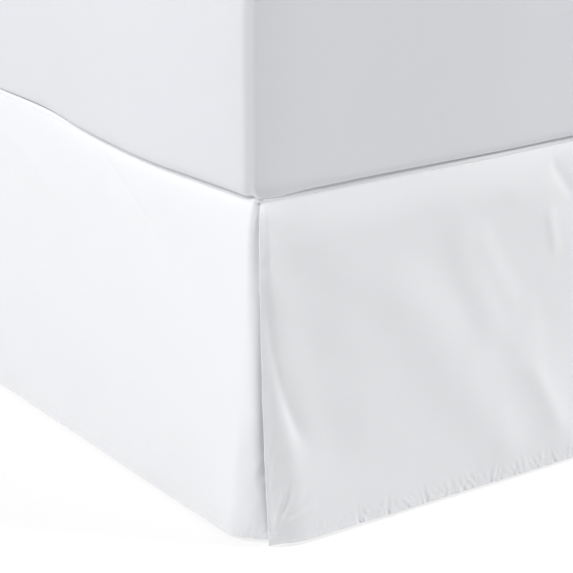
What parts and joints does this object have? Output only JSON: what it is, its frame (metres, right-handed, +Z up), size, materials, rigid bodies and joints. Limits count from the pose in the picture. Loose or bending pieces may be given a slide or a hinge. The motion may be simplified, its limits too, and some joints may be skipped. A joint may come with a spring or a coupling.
{
  "type": "bed skirt on a bed with mattress and box spring",
  "caption": "Tailored bed skirt: a flat deck under the mattress and smooth drops to the floor, split and overlapped at the foot corners.",
  "frame": {"origin": "on the floor under the middle of the bed", "axes": "+Z up, +Y along the bed towards the open head end, +X to the right as seen from the foot"},
  "size_m": [1.5433, 2.0366, 0.6968],
  "materials": {
    "skirt_cloth": "matt white plain-weave microfibre",
    "mattress_cover": "matt white smooth sheeting",
    "box_spring_cover": "matt off-white ticking",
    "frame_steel": "satin black powder coat",
    "glide_plastic": "matt black"
  },
  "bodies": {
    "root": {"skirt_deck": "skirt_cloth", "skirt_drop_left": "skirt_cloth", "skirt_drop_right": "skirt_cloth", "skirt_drop_foot": "skirt_cloth", "mattress": "mattress_cover", "box_spring": "box_spring_cover", "frame_rail_left": "frame_steel", "frame_rail_right": "frame_steel", "frame_cross_foot": "frame_steel", "frame_cross_middle": "frame_steel", "frame_cross_head": "frame_steel", "frame_leg_foot_left": "frame_steel", "frame_leg_foot_centre": "frame_steel", "frame_leg_foot_right": "frame_steel", "frame_leg_middle_left": "frame_steel", "frame_leg_middle_centre": "frame_steel", "frame_leg_middle_right": "frame_steel", "frame_leg_head_left": "frame_steel", "frame_leg_head_centre": "frame_steel", "frame_leg_head_right": "frame_steel", "frame_glide_foot_left": "glide_plastic", "frame_glide_foot_centre": "glide_plastic", "frame_glide_foot_right": "glide_plastic", "frame_glide_middle_left": "glide_plastic", "frame_glide_middle_centre": "glide_plastic", "frame_glide_middle_right": "glide_plastic", "frame_glide_head_left": "glide_plastic", "frame_glide_head_centre": "glide_plastic", "frame_glide_head_right": "glide_plastic"}
  },
  "joints": []
}
